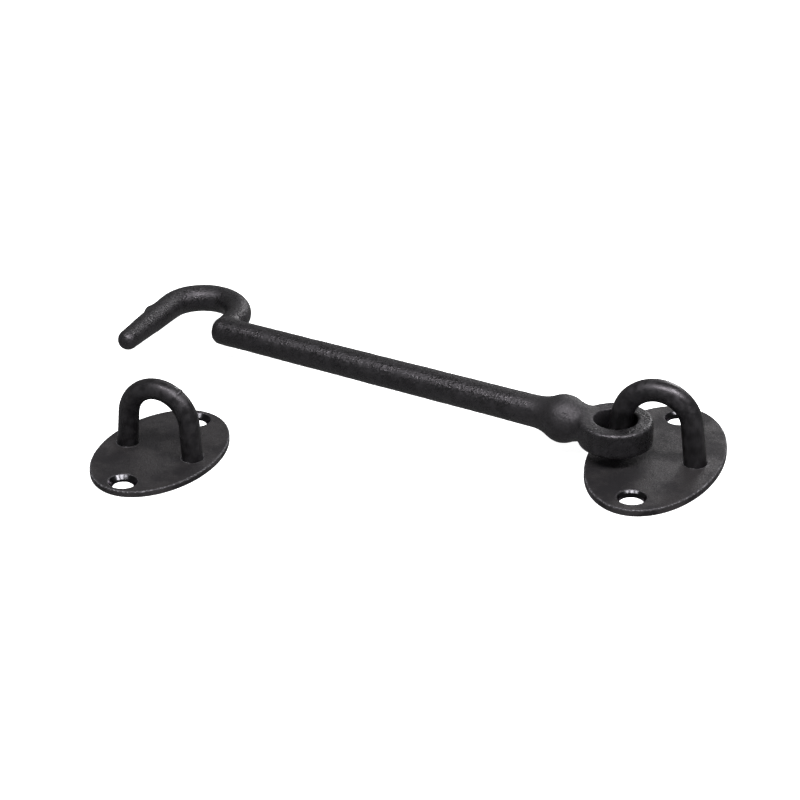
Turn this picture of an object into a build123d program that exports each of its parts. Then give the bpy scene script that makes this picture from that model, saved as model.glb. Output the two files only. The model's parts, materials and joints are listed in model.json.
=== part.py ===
"""Cabin hook set: a forged hook arm hung on a stapled back plate, and a keeper staple on its own plate.

Millimetres. The origin is the centre of the hook plate's underside, +Z stands out of the mounting surface
and +Y runs along the hook plate's screw line. The keeper lies on the -X side.
"""

from build123d import *
from math import cos, radians, sin, sqrt, tan
import os

# Driving dimensions
# Both plates
COUNTERSINK_ANGLE = 90
PLATE_EDGE_R = 0.35

# Hook plate, for M6 or No. 12 screws, and its staple
HOOK_PLATE_LENGTH = 61.8
HOOK_PLATE_WIDTH = 36.4
HOOK_PLATE_THICK = 2.1
HOOK_PLATE_SCREWS = 47.6
HOOK_SCREW_HOLE_R = 3.3
HOOK_COUNTERSINK_R = 4.2
HOOK_STAPLE_ROD = 6.35
HOOK_STAPLE_BEND = 9.8
HOOK_STAPLE_SPLAY = 6.3
HOOK_STAPLE_HEIGHT = 22.2

# Keeper plate, for No. 10 screws, and its staple
KEEPER_PLATE_LENGTH = 50.3
KEEPER_PLATE_WIDTH = 32.9
KEEPER_PLATE_THICK = 1.9
KEEPER_PLATE_SCREWS = 39.6
KEEPER_SCREW_HOLE_R = 2.8
KEEPER_COUNTERSINK_R = 4.1
KEEPER_STAPLE_ROD = 5.85
KEEPER_STAPLE_BEND = 9.45
KEEPER_STAPLE_SPLAY = 4.1
KEEPER_STAPLE_HEIGHT = 20.3
KEEPER_X = -128.35
KEEPER_Y = -40.3
KEEPER_TURN = -7.7

# Riveted feet of both staples
RIVET_FOOT_FLARE = 1.0
RIVET_NECK_FLARE = 0.2
RIVET_DEPTH = 0.9

# Hook arm, measured from the centre of its eye along the rod (U) and across it (V). The rod's centre line
# passes ROD_V to one side of the eye's centre.
ARM_DIRECTION = 169.9
ARM_HEIGHT = 9.1
EYE_PLAY_ALONG = 0.4
EYE_PLAY_ACROSS = 2.1
EYE_OUTER_R = 10.25
EYE_HOLE_R = 6.0
EYE_THICK = 7.4
EYE_EDGE_R = 1.0
EYE_LIP = 0.5
SHOULDER_U = 7.2
SHOULDER_HALF_WIDTH = 8.0
SHOULDER_HALF_HEIGHT = 3.5
ROD_V = 0.5
NECK_R = 5.4
NECK_FILLET_R = 2.5
BULB_U = 15.3
BULB_R = 6.75
FLARE_R = 12.0
ROD_R_AT_BULB = 4.48
ROD_R_AT_NOSE = 4.02
NOSE_U = 127.0
NOSE_EDGE_R = 2.6
HOOK_ROOT_U = 124.0
HOOK_CENTRE_U = 135.3
HOOK_CENTRE_V = -5.7
HOOK_BEND_R = 10.5
HOOK_LEAN = 2.3
HOOK_LEG_LENGTH = 23.8
HOOK_ROOT_R = 3.5
HOOK_CROWN_R = 3.9
HOOK_TIP_R = 2.95
HOOK_SECTIONS = 15


def staple_shoulder(bend, splay, height):
    """Half width and height at which a staple's straight leg meets its round crown."""
    return bend * cos(radians(splay)), height - bend + bend * sin(radians(splay))


def staple_half_width(bend, splay, height, level):
    """Distance from the staple's middle to the centre of its leg at a height above the underside."""
    across, up = staple_shoulder(bend, splay, height)
    return across + (up - level) * tan(radians(splay))


def make_staple(seat, rod, bend, splay, height):
    """A round rod bent to an arch in the seat's XZ plane, its two feet riveted over at the underside."""
    shoulder_x, shoulder_z = staple_shoulder(bend, splay, height)
    below = -2 * RIVET_DEPTH
    start_x = staple_half_width(bend, splay, height, below)
    foot_x = staple_half_width(bend, splay, height, 0)
    upright = Plane(origin=seat.origin, x_dir=seat.x_dir, z_dir=-seat.y_dir)
    with BuildPart() as staple:
        with BuildLine(upright) as arch:
            Line((-start_x, below), (-shoulder_x, shoulder_z))
            ThreePointArc((-shoulder_x, shoulder_z), (0, height), (shoulder_x, shoulder_z))
            Line((shoulder_x, shoulder_z), (start_x, below))
        with BuildSketch(Plane(origin=arch.line @ 0, z_dir=arch.line % 0)):
            Circle(rod / 2)
        sweep()
        split(bisect_by=Plane.XY, keep=Keep.TOP)
        with Locations(seat):
            with Locations((-foot_x, 0), (foot_x, 0)):
                Cone(
                    bottom_radius=rod / 2 + RIVET_FOOT_FLARE,
                    top_radius=rod / 2 + RIVET_NECK_FLARE,
                    height=RIVET_DEPTH,
                    align=(Align.CENTER, Align.CENTER, Align.MIN),
                )
    return staple


def make_plate(seat, length, width, thick, screws, hole_r, countersink_r, staple):
    """An oval plate with rounded edges, two countersunk screw holes and the holes that its staple fills."""
    with BuildPart() as plate:
        with BuildSketch(seat):
            Ellipse(width / 2, length / 2)
        extrude(amount=thick)
        fillet(plate.edges(), radius=PLATE_EDGE_R)
        with Locations(seat.offset(thick)):
            with GridLocations(0, screws, 1, 2):
                CounterSinkHole(hole_r, countersink_r, counter_sink_angle=COUNTERSINK_ANGLE)
        add(staple.part, mode=Mode.SUBTRACT)
    return plate


def tangent_run(small, large, fillet_r):
    """Along-axis distance from a ball's centre to where a concave arc leaves a rod of radius small."""
    return sqrt((large + fillet_r) ** 2 - (small + fillet_r) ** 2)


def between(start, end, share):
    return start + (end - start) * share


# Hook plate and staple, centred on the origin
hook_seat = Plane.XY
hook_staple = make_staple(
    hook_seat, HOOK_STAPLE_ROD, HOOK_STAPLE_BEND, HOOK_STAPLE_SPLAY, HOOK_STAPLE_HEIGHT
)
hook_plate = make_plate(
    hook_seat,
    HOOK_PLATE_LENGTH,
    HOOK_PLATE_WIDTH,
    HOOK_PLATE_THICK,
    HOOK_PLATE_SCREWS,
    HOOK_SCREW_HOLE_R,
    HOOK_COUNTERSINK_R,
    hook_staple,
)

# Keeper plate and staple
keeper_seat = Plane(
    origin=(KEEPER_X, KEEPER_Y, 0),
    x_dir=(cos(radians(KEEPER_TURN)), sin(radians(KEEPER_TURN)), 0),
    z_dir=(0, 0, 1),
)
keeper_staple = make_staple(
    keeper_seat, KEEPER_STAPLE_ROD, KEEPER_STAPLE_BEND, KEEPER_STAPLE_SPLAY, KEEPER_STAPLE_HEIGHT
)
keeper_plate = make_plate(
    keeper_seat,
    KEEPER_PLATE_LENGTH,
    KEEPER_PLATE_WIDTH,
    KEEPER_PLATE_THICK,
    KEEPER_PLATE_SCREWS,
    KEEPER_SCREW_HOLE_R,
    KEEPER_COUNTERSINK_R,
    keeper_staple,
)

# Hook arm. The eye hangs on the staple's -X leg, pulled a little towards the hook.
pivot_x = -staple_half_width(HOOK_STAPLE_BEND, HOOK_STAPLE_SPLAY, HOOK_STAPLE_HEIGHT, ARM_HEIGHT)
along = Vector(cos(radians(ARM_DIRECTION)), sin(radians(ARM_DIRECTION)), 0)
across = Vector(0, 0, 1).cross(along)
eye_centre = Vector(pivot_x, 0, ARM_HEIGHT) + along * EYE_PLAY_ALONG + across * EYE_PLAY_ACROSS
arm_flat = Plane(origin=eye_centre, x_dir=along, z_dir=(0, 0, 1))
rod_origin = eye_centre + across * ROD_V
arm_upright = Plane(origin=rod_origin, x_dir=along, z_dir=-across)

# Where the concave arcs on either side of the bulb touch the neck, the bulb and the rod
neck_run = tangent_run(NECK_R, BULB_R, NECK_FILLET_R)
flare_run = tangent_run(ROD_R_AT_BULB, BULB_R, FLARE_R)
neck_share = BULB_R / (BULB_R + NECK_FILLET_R)
flare_share = BULB_R / (BULB_R + FLARE_R)
neck_end = (BULB_U - neck_run, NECK_R)
bulb_start = (BULB_U - neck_run * neck_share, (NECK_R + NECK_FILLET_R) * neck_share)
bulb_end = (BULB_U + flare_run * flare_share, (ROD_R_AT_BULB + FLARE_R) * flare_share)
rod_start = (BULB_U + flare_run, ROD_R_AT_BULB)

# The hook's centre line: riser out of the nose, round bend, straight leg leaning in a little
bend_start = (HOOK_CENTRE_U - HOOK_BEND_R, HOOK_CENTRE_V)
lean = radians(HOOK_LEAN)
leg_start = (HOOK_CENTRE_U + HOOK_BEND_R * cos(lean), HOOK_CENTRE_V + HOOK_BEND_R * sin(lean))
leg_end = (leg_start[0] - HOOK_LEG_LENGTH * sin(lean), leg_start[1] + HOOK_LEG_LENGTH * cos(lean))

with BuildPart() as hook_arm:
    # Eye ring, its outer edges rounded and the lips of its hole eased
    with BuildSketch(arm_flat.offset(-EYE_THICK / 2)):
        Circle(EYE_OUTER_R)
    extrude(amount=EYE_THICK)
    fillet(hook_arm.edges().filter_by(GeomType.CIRCLE), radius=EYE_EDGE_R)
    with Locations(arm_flat):
        Hole(EYE_HOLE_R)
    lips = hook_arm.edges().filter_by(GeomType.CIRCLE).filter_by(lambda edge: edge.radius == EYE_HOLE_R)
    fillet(lips, radius=EYE_LIP)
    # Shoulder that narrows from the flat eye to the round neck
    with BuildSketch(Plane(origin=eye_centre + along * SHOULDER_U, x_dir=across, z_dir=along)):
        Ellipse(SHOULDER_HALF_WIDTH, SHOULDER_HALF_HEIGHT)
    with BuildSketch(Plane(origin=rod_origin + along * neck_end[0], x_dir=across, z_dir=along)):
        Circle(NECK_R)
    loft()
    # Neck, bulb, flare and tapered rod, turned about the rod's axis
    with BuildSketch(arm_upright):
        with BuildLine():
            Line((SHOULDER_U, 0), (SHOULDER_U, SHOULDER_HALF_HEIGHT))
            Line((SHOULDER_U, SHOULDER_HALF_HEIGHT), neck_end)
            neck_arc = TangentArc(neck_end, bulb_start, tangent=(1, 0))
            bulb_arc = ThreePointArc(bulb_start, (BULB_U, BULB_R), bulb_end)
            TangentArc(bulb_end, rod_start, tangent=bulb_arc % 1)
            Line(rod_start, (NOSE_U - NOSE_EDGE_R, ROD_R_AT_NOSE))
            TangentArc(
                (NOSE_U - NOSE_EDGE_R, ROD_R_AT_NOSE), (NOSE_U, ROD_R_AT_NOSE - NOSE_EDGE_R), tangent=(1, 0)
            )
            Line((NOSE_U, ROD_R_AT_NOSE - NOSE_EDGE_R), (NOSE_U, 0))
            Line((NOSE_U, 0), (SHOULDER_U, 0))
        make_face()
    revolve(axis=Axis(rod_origin, along))
    # Hook, lofted through round sections that swell at the crown and taper to the tip
    with BuildLine(arm_flat) as hook_line:
        Line((HOOK_ROOT_U, ROD_V), bend_start)
        ThreePointArc(bend_start, (HOOK_CENTRE_U, HOOK_CENTRE_V - HOOK_BEND_R), leg_start)
        Line(leg_start, leg_end)
    for section in range(HOOK_SECTIONS):
        share = section / (HOOK_SECTIONS - 1)
        swell = (HOOK_CROWN_R - between(HOOK_ROOT_R, HOOK_TIP_R, 0.4)) * sin(radians(180 * share))
        with BuildSketch(Plane(origin=hook_line.line @ share, z_dir=hook_line.line % share)):
            Circle(between(HOOK_ROOT_R, HOOK_TIP_R, share) + swell)
    loft()
    with Locations(hook_line.line @ 1):
        Sphere(HOOK_TIP_R)

os.makedirs("parts", exist_ok=True)
hook_plate.part.label = "hook_plate"
hook_staple.part.label = "hook_staple"
hook_arm.part.label = "hook_arm"
keeper_plate.part.label = "keeper_plate"
keeper_staple.part.label = "keeper_staple"
export_step(hook_plate.part, "parts/hook_plate.step")
export_step(hook_staple.part, "parts/hook_staple.step")
export_step(hook_arm.part, "parts/hook_arm.step")
export_step(keeper_plate.part, "parts/keeper_plate.step")
export_step(keeper_staple.part, "parts/keeper_staple.step")
print("hinge axis at", round(pivot_x, 3), "0, eye centre", eye_centre)
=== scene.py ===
"""Cabin hook set: the looks of the hook arm, the two staples and the two oval plates.

Metres, in the row frame. MM turns millimetres into metres.
"""

import json
import math

import bpy
import numpy as np
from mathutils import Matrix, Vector, noise


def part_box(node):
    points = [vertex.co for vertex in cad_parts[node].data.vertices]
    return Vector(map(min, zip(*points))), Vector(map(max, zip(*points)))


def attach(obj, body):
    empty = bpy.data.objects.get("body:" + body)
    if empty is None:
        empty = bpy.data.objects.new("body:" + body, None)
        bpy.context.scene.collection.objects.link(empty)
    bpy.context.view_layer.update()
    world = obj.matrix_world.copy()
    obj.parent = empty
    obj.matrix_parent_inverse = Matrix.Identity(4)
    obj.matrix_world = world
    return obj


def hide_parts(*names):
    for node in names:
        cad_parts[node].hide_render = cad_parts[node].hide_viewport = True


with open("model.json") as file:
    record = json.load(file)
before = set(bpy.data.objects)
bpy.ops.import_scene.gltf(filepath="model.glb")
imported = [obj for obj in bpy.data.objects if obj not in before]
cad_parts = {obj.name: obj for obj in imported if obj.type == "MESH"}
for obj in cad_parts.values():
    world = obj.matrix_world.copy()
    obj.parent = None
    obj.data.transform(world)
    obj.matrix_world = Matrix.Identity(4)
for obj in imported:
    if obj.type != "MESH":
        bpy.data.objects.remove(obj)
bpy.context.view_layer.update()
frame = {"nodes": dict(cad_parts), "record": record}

MM = 0.001

# Camera: a long lens, aimed at a point on the floor measured from the middle of the hook plate
AZIMUTH = 19.25
ELEVATION = 27.6
DISTANCE = 1035.3 * MM
LENS = 166.5
SENSOR_WIDTH = 36
AIM_FROM_HOOK_PLATE = Vector((-77.6, 12.1)) * MM

# Lights: how far the soft boxes stand from the aim
FRONT_DISTANCE = 0.9
BACK_DISTANCE = 0.8

# Skin of each piece: the size of its faces
ARM_VOXEL = 0.29 * MM
STAPLE_VOXEL = 0.19 * MM
PLATE_VOXEL = 0.2 * MM

# The arm, as in its CAD: its direction at rest and its eye
ARM_DIRECTION = 169.9
EYE_RADIUS = 10.25 * MM

# Places on the arm: along the rod from the eye's centre, across it and, for the lump, up
NECK_PLACE = (11 * MM, 0)
BULB_PLACE = (14 * MM, 0)
NOSE_PLACE = (125 * MM, -2 * MM)
LUMP_PLACE = (149 * MM, 2.2 * MM, 1.8 * MM)

# Forging of the arm: its fillets, the flash on its leg and its dull bulb
FILL_STEPS = 20
NECK_FILL_RADIUS = 10 * MM
NECK_FILL_ROUNDS = 18
NOSE_FILL_RADIUS = 9 * MM
NOSE_FILL_ROUNDS = 10
LUMP_REACH = (1.6 * MM, 1.9 * MM, 1.6 * MM)
LUMP_HEIGHT = 0.75 * MM
ARM_SWELL = 0.08 * MM
DULL_RADIUS = 13 * MM
DULLNESS = 0.7

# Burr on the keeper staple, at an angle from the top of its crown
BURR_ANGLE = 32
BURR_WIDTH = 0.42 * MM
BURR_HEIGHT = 0.5 * MM
STRAIGHT_LEG_LEVEL = 5 * MM

# Plates: their countersinks, and the lip round each foot of the staple
COUNTERSINK_RADIUS = {"hook_plate": 4.2 * MM, "keeper_plate": 4.1 * MM}
COLLAR_HEIGHT = 0.2 * MM
COLLAR_OFFSET = 0.4 * MM
COLLAR_WIDTH = 0.28 * MM


# ---------------------------------------------------------------- mesh tools
def read(collection, name, width):
    values = np.empty(len(collection) * width, np.float32)
    collection.foreach_get(name, values)
    return values.reshape(-1, width)


def coordinates(mesh):
    return read(mesh.vertices, "co", 3)


def normals(mesh):
    return read(mesh.vertex_normals, "vector", 3)


def read_edges(mesh):
    pairs = np.empty(len(mesh.edges) * 2, np.int32)
    mesh.edges.foreach_get("vertices", pairs)
    return pairs.reshape(-1, 2)


def move(mesh, points):
    mesh.vertices.foreach_set("co", points.astype(np.float32).ravel())
    mesh.update()


def push(mesh, amount):
    """Moves each vertex along its normal by its own amount in metres."""
    move(mesh, coordinates(mesh) + normals(mesh) * amount[:, None])


def skin(node, name, voxel, rounds):
    """A closed skin of small even faces over a CAD node, its hard corners run together a little."""
    piece = bpy.data.objects.new(name, frame["nodes"][node].data.copy())
    bpy.context.scene.collection.objects.link(piece)
    piece.data.materials.clear()
    remesh = piece.modifiers.new("even_faces", "REMESH")
    remesh.mode = "VOXEL"
    remesh.voxel_size = voxel
    remesh.use_smooth_shade = True
    soften = piece.modifiers.new("soften", "SMOOTH")
    soften.factor = 0.5
    soften.iterations = rounds
    depsgraph = bpy.context.evaluated_depsgraph_get()
    mesh = bpy.data.meshes.new_from_object(piece.evaluated_get(depsgraph))
    piece.modifiers.clear()
    piece.data = mesh
    return piece


def field(points, scale, octaves, seed):
    """Fractal noise from about -1 to 1 at each point; scale is the size of its features in metres."""
    shift = Vector((7.31, 3.17, 5.77)) * seed
    values = [noise.fractal(Vector(p) / scale + shift, 1.0, 2.0, octaves) for p in points.tolist()]
    return np.array(values, np.float32)


def smoothstep(low, high, values):
    """0 below low, 1 above high, smooth between them."""
    share = np.clip((values - low) / (high - low), 0, 1)
    return share * share * (3 - 2 * share)


def hump(distance, width):
    """1 at no distance, falling away smoothly over about a width."""
    return np.exp(-((distance / width) ** 2))


def spread(mesh, values, rounds):
    """Averages a value over each vertex's neighbours, a few times."""
    edges = read_edges(mesh)
    count = np.bincount(edges.ravel(), minlength=len(values))
    for _ in range(rounds):
        total = np.bincount(edges[:, 0], values[edges[:, 1]], len(values))
        total += np.bincount(edges[:, 1], values[edges[:, 0]], len(values))
        values = 0.5 * values + 0.5 * total / count
    return values


def curvature(mesh):
    """How sharply the skin bends outwards at each vertex, in 1/mm; hollows are negative."""
    points, normal, edges = coordinates(mesh), normals(mesh), read_edges(mesh)
    step = points[edges[:, 1]] - points[edges[:, 0]]
    turn = normal[edges[:, 1]] - normal[edges[:, 0]]
    bend = (step * turn).sum(1) / np.maximum((step * step).sum(1), 1e-12)
    total = np.bincount(edges.ravel(), np.repeat(bend, 2), len(points))
    count = np.bincount(edges.ravel(), minlength=len(points))
    return spread(mesh, total / count, 3) * MM


def fill_hollows(mesh, share, rounds):
    """Raises hollow vertices to their neighbours' mean, so that inner corners run out in fillets.

    Each round takes FILL_STEPS small steps along the same normals.
    """
    edges = read_edges(mesh)
    near, local = np.unique(edges[share[edges].max(1) > 0], return_inverse=True)
    first, second = local.reshape(-1, 2).T
    count = np.bincount(first, minlength=len(near)) + np.bincount(second, minlength=len(near))
    for _ in range(rounds):
        points = coordinates(mesh)
        part, normal = points[near], normals(mesh)[near]
        for _ in range(FILL_STEPS):
            total = [
                np.bincount(first, part[second, axis], len(near))
                + np.bincount(second, part[first, axis], len(near))
                for axis in range(3)
            ]
            rise = ((np.stack(total, 1) / count[:, None] - part) * normal).sum(1)
            part = part + normal * (np.maximum(rise, 0) * share[near])[:, None]
        points[near] = part
        move(mesh, points)


def paint(mesh, name, values):
    """Stores a value from 0 to 1 on each vertex for the material to read."""
    layer = mesh.attributes.new(name, "FLOAT", "POINT")
    layer.data.foreach_set("value", np.clip(values, 0, 1).astype(np.float32))


def hammered(mesh, wave, depth, seed):
    """Slow uneven waves, into the metal."""
    waves = 0.5 + 0.5 * np.clip(field(coordinates(mesh), wave, 2, seed), -1, 1)
    push(mesh, -waves * depth)


def pitted(mesh, size, depth, seed):
    """Small pits in patches, into the metal."""
    points = coordinates(mesh)
    patches = smoothstep(-0.5, 0.5, field(points, 6 * size, 2, seed))
    pits = smoothstep(0.0, 0.5, field(points, size, 3, seed + 1))
    push(mesh, -pits * (0.4 + 0.6 * patches) * depth)


# ---------------------------------------------------------------- materials
class Material:
    """A material in the making: its nodes, its links and its shader."""

    def __init__(self, name):
        self.material = bpy.data.materials.new(name)
        self.material.use_nodes = True
        self.nodes = self.material.node_tree.nodes
        self.links = self.material.node_tree.links
        self.nodes.clear()
        self.shader = self.nodes.new("ShaderNodeBsdfPrincipled")
        output = self.nodes.new("ShaderNodeOutputMaterial")
        self.links.new(self.shader.outputs["BSDF"], output.inputs["Surface"])
        self.place = self.nodes.new("ShaderNodeTexCoord").outputs["Object"]

    def feed(self, value, socket):
        """Links a node's output to a socket, or sets the socket to a plain value."""
        if isinstance(value, bpy.types.NodeSocket):
            self.links.new(value, socket)
        else:
            socket.default_value = value

    def noise(self, size_mm, detail, roughness, place=None):
        """Cloudy noise with features of about a size, at the object's coordinates unless told otherwise."""
        node = self.nodes.new("ShaderNodeTexNoise")
        node.inputs["Scale"].default_value = 1 / (size_mm * MM)
        node.inputs["Detail"].default_value = detail
        node.inputs["Roughness"].default_value = roughness
        self.links.new(place or self.place, node.inputs["Vector"])
        return node.outputs["Fac"]

    def drawn_out(self, stretch, slope):
        """The object's coordinates, drawn out along a direction that rises from X by slope degrees."""
        node = self.nodes.new("ShaderNodeMapping")
        node.vector_type = "TEXTURE"
        node.inputs["Rotation"].default_value = (0, -math.radians(slope), 0)
        node.inputs["Scale"].default_value = (stretch, 1, 1)
        self.links.new(self.place, node.inputs["Vector"])
        return node.outputs["Vector"]

    def painted(self, name):
        """A value that paint() stored on the vertices."""
        node = self.nodes.new("ShaderNodeAttribute")
        node.attribute_name = name
        return node.outputs["Fac"]

    def steps(self, value, low, high, start=0.0, end=1.0):
        """Start below low, end above high, smooth between them."""
        node = self.nodes.new("ShaderNodeMapRange")
        node.interpolation_type = "SMOOTHSTEP"
        node.inputs["From Min"].default_value = low
        node.inputs["From Max"].default_value = high
        node.inputs["To Min"].default_value = start
        node.inputs["To Max"].default_value = end
        self.links.new(value, node.inputs["Value"])
        return node.outputs["Result"]

    def times(self, first, second):
        """Multiplies two numbers."""
        node = self.nodes.new("ShaderNodeMath")
        node.operation = "MULTIPLY"
        self.feed(first, node.inputs[0])
        self.feed(second, node.inputs[1])
        return node.outputs["Value"]

    def blend(self, share, first, second):
        """Mixes two colours."""
        node = self.nodes.new("ShaderNodeMix")
        node.data_type = "RGBA"
        sockets = [socket for socket in node.inputs if socket.type == "RGBA"]
        self.links.new(share, node.inputs["Factor"])
        self.feed(first, sockets[0])
        self.feed(second, sockets[1])
        return next(socket for socket in node.outputs if socket.type == "RGBA")

    def mix(self, share, first, second):
        """Mixes two numbers."""
        node = self.nodes.new("ShaderNodeMix")
        node.data_type = "FLOAT"
        self.links.new(share, node.inputs["Factor"])
        self.feed(first, node.inputs["A"])
        self.feed(second, node.inputs["B"])
        return node.outputs["Result"]

    def finish(self, level):
        """How much the surface mirrors, and the faint violet cast of its oxide."""
        self.shader.inputs["Specular IOR Level"].default_value = level
        self.shader.inputs["Specular Tint"].default_value = (0.985, 0.92, 1.0, 1)

    def bump(self, height, depth_mm, below=None):
        """Normals for a height of 0 to 1 over a depth, on top of the bump below it."""
        node = self.nodes.new("ShaderNodeBump")
        node.inputs["Strength"].default_value = 1.0
        node.inputs["Distance"].default_value = depth_mm * MM
        self.links.new(height, node.inputs["Height"])
        if below is not None:
            self.links.new(below, node.inputs["Normal"])
        return node.outputs["Normal"]


def colour(value, warmth=0.0):
    """A near-neutral grey; warmth above 0 turns it towards rust."""
    return (value * (1 + warmth), value * (0.98 + 0.1 * warmth), value * (1.06 - warmth), 1.0)


def forged_black():
    """Black forged skin: pitted, with a broken satin shine, worn high spots and painted highlights along
    its upper edges.
    """
    metal = Material("forged_black")
    patches = metal.noise(3.2, 5, 0.6)
    grain = metal.noise(0.55, 3, 0.55, metal.drawn_out(2.6, 50))
    fine = metal.noise(0.3, 2, 0.5)
    base = metal.blend(metal.steps(patches, 0.35, 0.7), colour(0.004), colour(0.008))
    # Upper outer edges lighter in grain-broken specks: worn spots and a painted highlight.
    rubbed_and_highlight = metal.times(metal.painted("wear_and_highlight"), metal.steps(grain, 0.45, 0.62))
    base = metal.blend(rubbed_and_highlight, base, colour(0.03))
    base = metal.blend(metal.painted("hollow"), base, colour(0.003, 0.15))
    metal.feed(base, metal.shader.inputs["Base Color"])
    rough = metal.steps(grain, 0.4, 0.62, 0.46, 0.19)
    rough = metal.mix(metal.steps(patches, 0.42, 0.66, 0.0, 0.6), rough, 0.5)
    rough = metal.mix(metal.painted("dull"), rough, 0.6)
    metal.feed(rough, metal.shader.inputs["Roughness"])
    metal.finish(0.45)
    normal = metal.bump(grain, 0.2)
    metal.feed(metal.bump(fine, 0.045, normal), metal.shader.inputs["Normal"])
    return metal.material


def rod_black():
    """Blackened bent rod: smooth, with a soft shine."""
    metal = Material("rod_black")
    patches = metal.noise(2.6, 5, 0.6)
    grain = metal.noise(0.4, 4, 0.6)
    base = metal.blend(metal.steps(patches, 0.35, 0.68), colour(0.003), colour(0.007))
    # Upper outer edges lighter in grain-broken specks: worn spots and a painted highlight.
    rubbed_and_highlight = metal.times(metal.painted("wear_and_highlight"), metal.steps(grain, 0.45, 0.6))
    base = metal.blend(rubbed_and_highlight, base, colour(0.06))
    base = metal.blend(metal.painted("hollow"), base, colour(0.008, 0.3))
    metal.feed(base, metal.shader.inputs["Base Color"])
    metal.feed(metal.steps(patches, 0.4, 0.62, 0.32, 0.58), metal.shader.inputs["Roughness"])
    metal.finish(0.42)
    metal.feed(metal.bump(grain, 0.03), metal.shader.inputs["Normal"])
    return metal.material


def plate_black():
    """Blackened pressed plate: matt and mottled, with chips and a painted highlight along its upper rim,
    machined in its countersinks.
    """
    metal = Material("plate_black")
    patches = metal.noise(9.0, 7, 0.6)
    grain = metal.noise(0.5, 4, 0.7)
    specks = metal.noise(0.45, 2, 0.7)
    base = metal.blend(metal.steps(patches, 0.4, 0.6), colour(0.002), colour(0.012, 0.06))
    base = metal.blend(metal.steps(specks, 0.64, 0.74, 0.0, 0.5), base, colour(0.03))
    # Painted highlight: a faint lighter line all along the upper rim.
    base = metal.blend(metal.painted("wear_and_highlight"), base, colour(0.015))
    # Brighter chips on the upper rim, part worn metal and part painted highlight.
    chips_and_highlight = metal.times(metal.painted("wear_and_highlight"), metal.steps(specks, 0.54, 0.62))
    base = metal.blend(chips_and_highlight, base, colour(0.12))
    base = metal.blend(metal.painted("hollow"), base, colour(0.006, 0.4))
    base = metal.blend(metal.painted("machined"), base, colour(0.03))
    metal.feed(base, metal.shader.inputs["Base Color"])
    metal.feed(metal.painted("machined"), metal.shader.inputs["Metallic"])
    rough = metal.steps(grain, 0.35, 0.65, 0.34, 0.6)
    rough = metal.mix(metal.steps(patches, 0.4, 0.6, 0.7, 0.0), rough, 0.72)
    rough = metal.mix(metal.painted("machined"), rough, 0.2)
    metal.feed(rough, metal.shader.inputs["Roughness"])
    metal.finish(0.39)
    height = metal.mix(metal.painted("machined"), grain, 0.5)
    metal.feed(metal.bump(height, 0.12), metal.shader.inputs["Normal"])
    return metal.material


def floor_white():
    """A plain matt floor that glows a little, as a lit white sweep does."""
    floor = Material("floor_white")
    floor.shader.inputs["Base Color"].default_value = (0.8, 0.8, 0.8, 1)
    floor.shader.inputs["Roughness"].default_value = 0.9
    floor.shader.inputs["Specular IOR Level"].default_value = 0.1
    floor.shader.inputs["Emission Color"].default_value = (1, 1, 1, 1)
    floor.shader.inputs["Emission Strength"].default_value = 0.85
    return floor.material


# ---------------------------------------------------------------- pieces
def finish_piece(piece, body, node, material):
    piece.data.materials.append(material)
    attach(piece, body)
    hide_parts(node)


def paint_wear_and_highlight(mesh, low, high):
    """Marks the outer edges on the upper side, worn bright in part and lighter as a painted highlight where
    the lights fall, and the hollows that stay dull.
    """
    bend = curvature(mesh)
    # Only the upward-facing edges, where the lights fall, so the edge mark is partly a painted highlight.
    upper = smoothstep(-0.1, 0.4, normals(mesh)[:, 2])
    paint(mesh, "wear_and_highlight", smoothstep(low, high, bend) * upper)
    paint(mesh, "hollow", smoothstep(0.15, 0.6, -bend))


def arm_places(points):
    """Each point's distance along the rod from the eye's centre, across it to the tip's side, and up."""
    low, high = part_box("hook_arm")
    eye = np.array([high.x - EYE_RADIUS, low.y + EYE_RADIUS, (low.z + high.z) / 2])
    turn = math.radians(ARM_DIRECTION)
    along = np.array([math.cos(turn), math.sin(turn), 0])
    across = np.array([-math.sin(turn), math.cos(turn), 0])
    away = points - eye
    return np.stack([away @ along, away @ across, away[:, 2]], 1)


def raise_lump(mesh):
    """A ridge of forging flash on the outer side of the hook's leg."""
    away = arm_places(coordinates(mesh)) - np.array(LUMP_PLACE)
    reach = away / np.array(LUMP_REACH)
    push(mesh, LUMP_HEIGHT * np.exp(-(reach**2).sum(1)))


def near_place(places, place, radius):
    """1 round a place on the arm, falling to 0 at a radius."""
    away = np.hypot(places[:, 0] - place[0], places[:, 1] - place[1])
    return smoothstep(0, 0.35, 1 - away / radius)


def make_arm(material):
    """The one forging of eye, neck, bulb, rod, nose and hook."""
    arm = skin("hook_arm", "arm_forging", ARM_VOXEL, 8)
    places = arm_places(coordinates(arm.data))
    fill_hollows(arm.data, near_place(places, NECK_PLACE, NECK_FILL_RADIUS), NECK_FILL_ROUNDS)
    fill_hollows(arm.data, near_place(places, NOSE_PLACE, NOSE_FILL_RADIUS), NOSE_FILL_ROUNDS)
    raise_lump(arm.data)
    push(arm.data, np.full(len(places), ARM_SWELL))
    hammered(arm.data, 7 * MM, 0.12 * MM, 1)
    hammered(arm.data, 3 * MM, 0.06 * MM, 5)
    pitted(arm.data, 0.7 * MM, 0.07 * MM, 2)
    paint_wear_and_highlight(arm.data, 0.3, 0.7)
    paint(arm.data, "dull", DULLNESS * near_place(places, BULB_PLACE, DULL_RADIUS))
    finish_piece(arm, "arm", "hook_arm", material)


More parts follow.
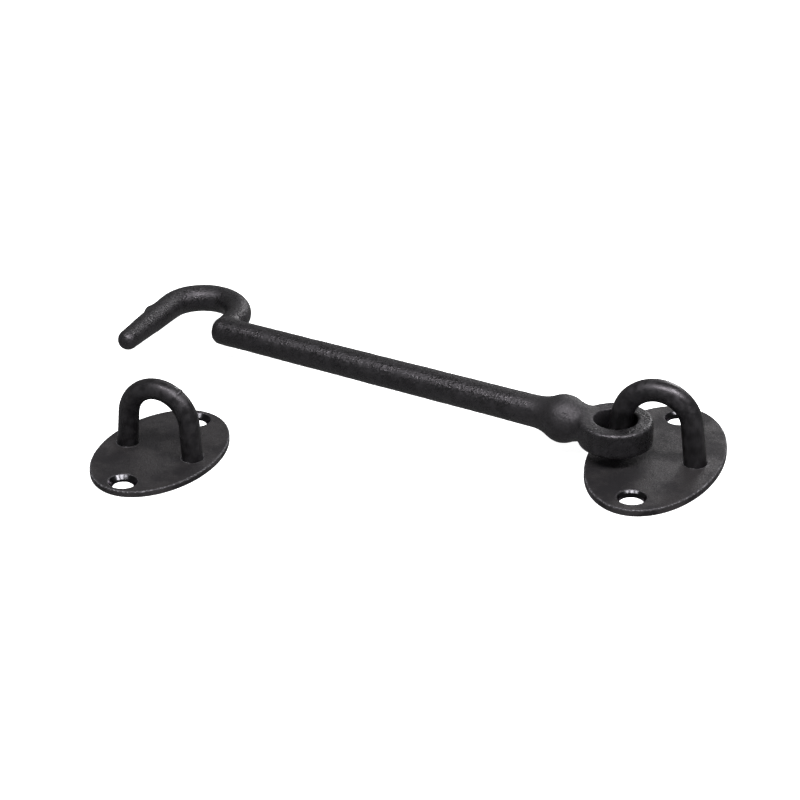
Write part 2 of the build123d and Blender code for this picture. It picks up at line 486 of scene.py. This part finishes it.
def raise_burr(mesh, node):
    """A small burr on the shoulder of the keeper staple's crown."""
    low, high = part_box(node)
    points = coordinates(mesh)
    middle = (low + high) / 2
    legs = points[np.abs(points[:, 2] - STRAIGHT_LEG_LEVEL) < 0.5 * MM]
    outer = legs[:, 0].max() - middle.x
    angle = math.radians(BURR_ANGLE)
    burr_x = middle.x + outer * math.sin(angle)
    burr_z = high.z - outer * (1 - math.cos(angle))
    away = np.hypot(points[:, 0] - burr_x, points[:, 2] - burr_z)
    ridge = hump(away, BURR_WIDTH) * smoothstep(0, 1, normals(mesh)[:, 2] * 1.6)
    push(mesh, BURR_HEIGHT * ridge)


def make_staple(node, name, body, material, seed):
    """A bent rod with its feet through its plate."""
    staple = skin(node, name, STAPLE_VOXEL, 4)
    if node == "keeper_staple":
        raise_burr(staple.data, node)
    hammered(staple.data, 6 * MM, 0.06 * MM, seed)
    pitted(staple.data, 1.1 * MM, 0.012 * MM, seed + 1)
    paint_wear_and_highlight(staple.data, 0.45, 0.9)
    finish_piece(staple, body, node, material)
    return staple


def leg_centres(staple, level):
    """Centre and radius of each of a staple's legs where they pass through a level."""
    points = coordinates(staple.data)
    ring = points[np.abs(points[:, 2] - level) < 0.15 * MM]
    middle = (ring[:, 0].min() + ring[:, 0].max()) / 2
    legs = [ring[ring[:, 0] < middle], ring[ring[:, 0] > middle]]
    return [((leg.min(0) + leg.max(0)) / 2, np.ptp(leg[:, 1]) / 2) for leg in legs]


def raise_collars(mesh, staple, top, seed):
    """The lip of metal squeezed up round each of the staple's feet, uneven all round."""
    points = coordinates(mesh)
    uneven = smoothstep(-0.2, 0.4, field(points, 2.5 * MM, 2, seed))
    lift = np.zeros(len(points))
    for centre, radius in leg_centres(staple, top):
        away = np.hypot(points[:, 0] - centre[0], points[:, 1] - centre[1]) - radius
        lift += COLLAR_HEIGHT * hump(away - COLLAR_OFFSET, COLLAR_WIDTH)
    points[:, 2] += lift * uneven * (points[:, 2] > top - 0.3 * MM)
    move(mesh, points)


def paint_countersinks(mesh, node, mount):
    """Marks the walls of the screw holes, from the record's mounts."""
    points = coordinates(mesh)
    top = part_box(node)[1].z
    row = next(m for m in frame["record"]["mounts"] if m["name"] == mount)
    spacing = row["dims"].get("spacing_y_mm") or row["dims"]["pcd_mm"]
    along = screw_line(node)
    inside = np.zeros(len(points))
    for side in (-1, 1):
        centre = np.array(row["pos_m"][:2]) + along * side * spacing * MM / 2
        away = np.hypot(points[:, 0] - centre[0], points[:, 1] - centre[1])
        inside = np.maximum(inside, smoothstep(0, 0.2 * MM, COUNTERSINK_RADIUS[node] - away))
    paint(mesh, "machined", inside * smoothstep(0.08 * MM, 0.2 * MM, top - points[:, 2]))


def screw_line(node):
    """Direction of an oval plate's long axis."""
    points = coordinates(frame["nodes"][node].data)[:, :2]
    away = points - (points.min(0) + points.max(0)) / 2
    far = away[np.argmax(np.hypot(away[:, 0], away[:, 1]))]
    return far / np.hypot(*far)


def make_plate(node, name, body, staple, mount, material, seed):
    """An oval plate round the feet of its staple."""
    plate = skin(node, name, PLATE_VOXEL, 1)
    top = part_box(node)[1].z
    raise_collars(plate.data, staple, top, seed)
    hammered(plate.data, 9 * MM, 0.04 * MM, seed + 1)
    pitted(plate.data, 1.3 * MM, 0.012 * MM, seed + 2)
    paint_wear_and_highlight(plate.data, 0.35, 1.0)
    paint_countersinks(plate.data, node, mount)
    finish_piece(plate, body, node, material)


# ---------------------------------------------------------------- stage
def direction(azimuth, elevation):
    """Unit vector from the object towards an azimuth and elevation in degrees; azimuth 0 is -Y."""
    turn, rise = math.radians(azimuth), math.radians(elevation)
    return Vector((math.sin(turn) * math.cos(rise), -math.cos(turn) * math.cos(rise), math.sin(rise)))


def aim_at(thing, away):
    thing.rotation_mode = "QUATERNION"
    thing.rotation_quaternion = (-away).to_track_quat("-Z", "Y")


def make_camera():
    """The camera; returns the point that it is aimed at."""
    low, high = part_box("hook_plate")
    aim = ((low + high) / 2 * Vector((1, 1, 0))) + AIM_FROM_HOOK_PLATE.to_3d()
    away = direction(AZIMUTH, ELEVATION)
    data = bpy.data.cameras.new("camera")
    data.lens = LENS
    data.sensor_width = SENSOR_WIDTH
    data.clip_start = 0.01
    camera = bpy.data.objects.new("camera", data)
    camera.location = aim + away * DISTANCE
    aim_at(camera, away)
    bpy.context.scene.collection.objects.link(camera)
    bpy.context.scene.camera = camera
    return aim


def make_floor(material):
    bpy.ops.mesh.primitive_plane_add(size=8)
    floor = bpy.context.object
    floor.name = "floor"
    floor.data.materials.append(material)
    floor.visible_glossy = False


def soft_box(name, aim, azimuth, elevation, distance, width, height, power):
    """A soft box that faces the aim."""
    data = bpy.data.lights.new(name, "AREA")
    data.shape = "RECTANGLE"
    data.size = width
    data.size_y = height
    data.energy = power
    light = bpy.data.objects.new(name, data)
    away = direction(azimuth, elevation)
    light.location = aim + away * distance
    aim_at(light, away)
    bpy.context.scene.collection.objects.link(light)


def make_world(strength):
    world = bpy.data.worlds.new("studio")
    world.use_nodes = True
    background = world.node_tree.nodes["Background"]
    background.inputs["Color"].default_value = (1, 1, 1, 1)
    background.inputs["Strength"].default_value = strength
    bpy.context.scene.world = world
    bpy.context.scene.view_settings.view_transform = "Standard"


aim = make_camera()
make_floor(floor_white())
make_world(0.21)
soft_box("front_box", aim, AZIMUTH + 2, 62, FRONT_DISTANCE, 0.26, 0.2, 6)
soft_box("right_box", aim, AZIMUTH + 52, 58, FRONT_DISTANCE, 0.26, 0.2, 7)
soft_box("left_box", aim, AZIMUTH - 46, 60, FRONT_DISTANCE, 0.24, 0.2, 4)
soft_box("rim_box", aim, AZIMUTH + 152, 20, BACK_DISTANCE, 0.2, 0.3, 1.4)
soft_box("back_box", aim, AZIMUTH + 170, 34, BACK_DISTANCE, 0.26, 0.2, 0.3)

rod = rod_black()
plate = plate_black()
make_arm(forged_black())
hook_staple = make_staple("hook_staple", "hook_staple_rod", "hook_base", rod, 11)
keeper_staple = make_staple("keeper_staple", "keeper_staple_rod", "keeper", rod, 21)
make_plate("hook_plate", "hook_oval", "hook_base", hook_staple, "hook_plate_screws", plate, 31)
make_plate("keeper_plate", "keeper_oval", "keeper", keeper_staple, "keeper_plate_screws", plate, 41)
